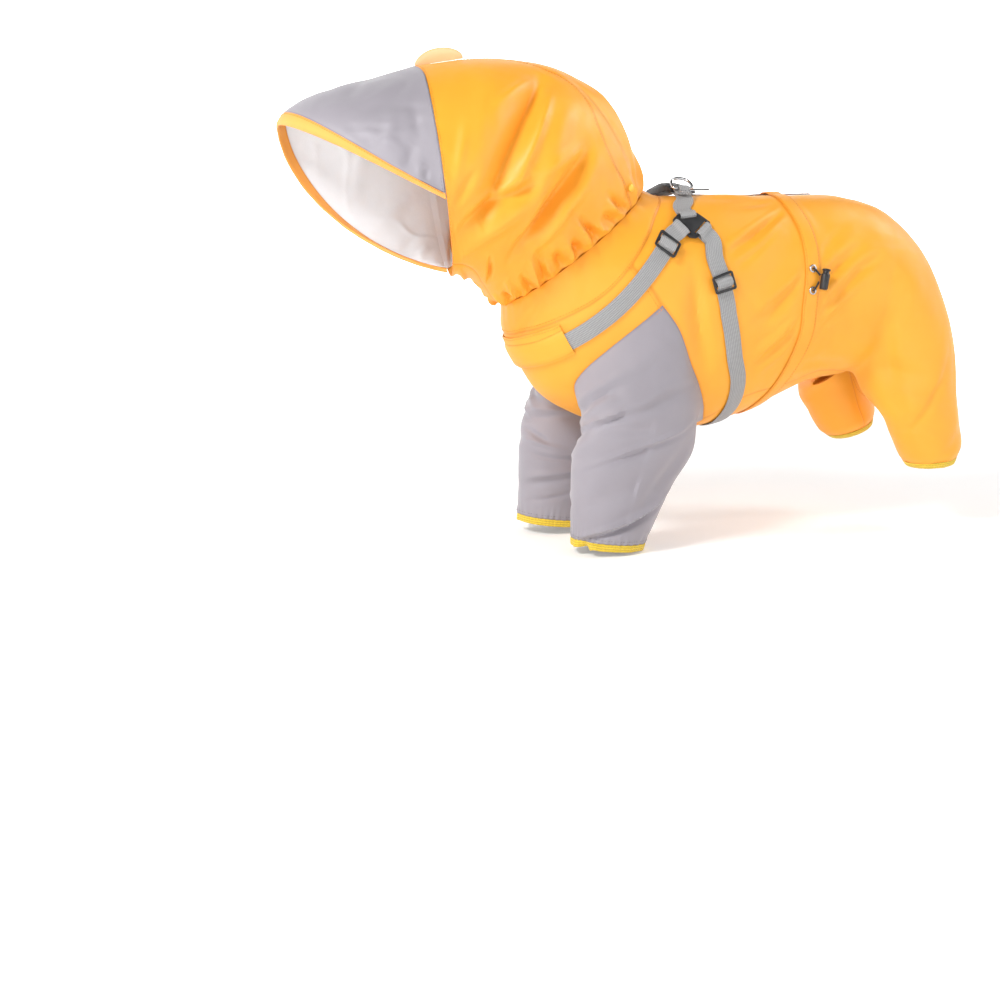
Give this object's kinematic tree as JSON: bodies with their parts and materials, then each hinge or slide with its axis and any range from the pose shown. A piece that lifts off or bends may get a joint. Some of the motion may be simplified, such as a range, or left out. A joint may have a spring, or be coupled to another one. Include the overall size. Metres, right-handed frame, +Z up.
{
  "type": "dog raincoat",
  "caption": "Hooded dog raincoat with elastic-cuffed legs, zipped back, brimmed hood with ears, drawstring waist and a webbing harness held in its worn, hollow shape.",
  "frame": {"origin": "where the coat rests on the wearer's withers, under the middle of the zip's front end", "axes": "-X towards the wearer's head, +X towards the tail, -Y the wearer's left side, +Z up"},
  "size_m": [0.7284, 0.1939, 0.496],
  "materials": {
    "orange_cloth": "matte woven waterproof polyester",
    "grey_cloth": "matte woven polyester",
    "silver_lining": "satin coated lining",
    "yellow_elastic": "ribbed elastic cuff",
    "peach_cloth": "soft woven cloth",
    "grey_webbing": "woven webbing tape",
    "black_plastic": "moulded, slightly satin",
    "black_cord": "round braided elastic cord",
    "steel": "plated",
    "navy_zip": "woven zip tape with its chain",
    "yellow_snap": "moulded press stud"
  },
  "bodies": {
    "coat": {"hood_left": "orange_cloth", "hood_right": "orange_cloth", "hood_crown": "orange_cloth", "brim_outer": "grey_cloth", "brim_lining": "silver_lining", "brim_binding": "orange_cloth", "ear_left": "peach_cloth", "ear_right": "peach_cloth", "hood_snap": "yellow_snap", "collar": "orange_cloth", "chest_panel": "orange_cloth", "belly_panel": "orange_cloth", "side_left": "orange_cloth", "side_right": "orange_cloth", "rear_left": "orange_cloth", "rear_right": "orange_cloth", "sleeve_left": "grey_cloth", "sleeve_right": "grey_cloth", "cuff_front_left": "yellow_elastic", "cuff_front_right": "yellow_elastic", "cuff_hind_left": "yellow_elastic", "cuff_hind_right": "yellow_elastic", "waist_casing_left": "orange_cloth", "waist_casing_right": "orange_cloth", "eyelet_upper": "steel", "eyelet_lower": "steel", "drawcord_upper": "black_cord", "drawcord_lower": "black_cord", "cord_lock": "black_plastic", "zip_strip": "navy_zip", "zip_slider": "steel", "strap_keeper": "orange_cloth", "chest_strap": "grey_webbing", "girth_strap": "grey_webbing", "top_strap_left": "grey_webbing", "top_strap_right": "grey_webbing", "ring_loop": "grey_webbing", "junction_left": "black_plastic", "junction_right": "black_plastic", "chest_slide_left": "black_plastic", "chest_slide_right": "black_plastic", "girth_slide_left": "black_plastic", "girth_slide_right": "black_plastic", "buckle_socket": "black_plastic", "buckle_tongue": "black_plastic"},
    "ring": {"leash_ring": "steel"},
    "pull": {"zip_pull": "steel"}
  },
  "joints": [
    {"name": "leash_ring_swing", "type": "hinge", "parent": "coat", "child": "ring", "pos_m": [0.00513, -0.02423, 0.00722], "axis": [0.9955, -0.0946, 0.0107], "range_deg": [0, 140]},
    {"name": "zip_pull_swing", "type": "hinge", "parent": "coat", "child": "pull", "pos_m": [0.0259, 0, 0.00662], "axis": [0, -1, 0], "range_deg": [0, 120]}
  ]
}
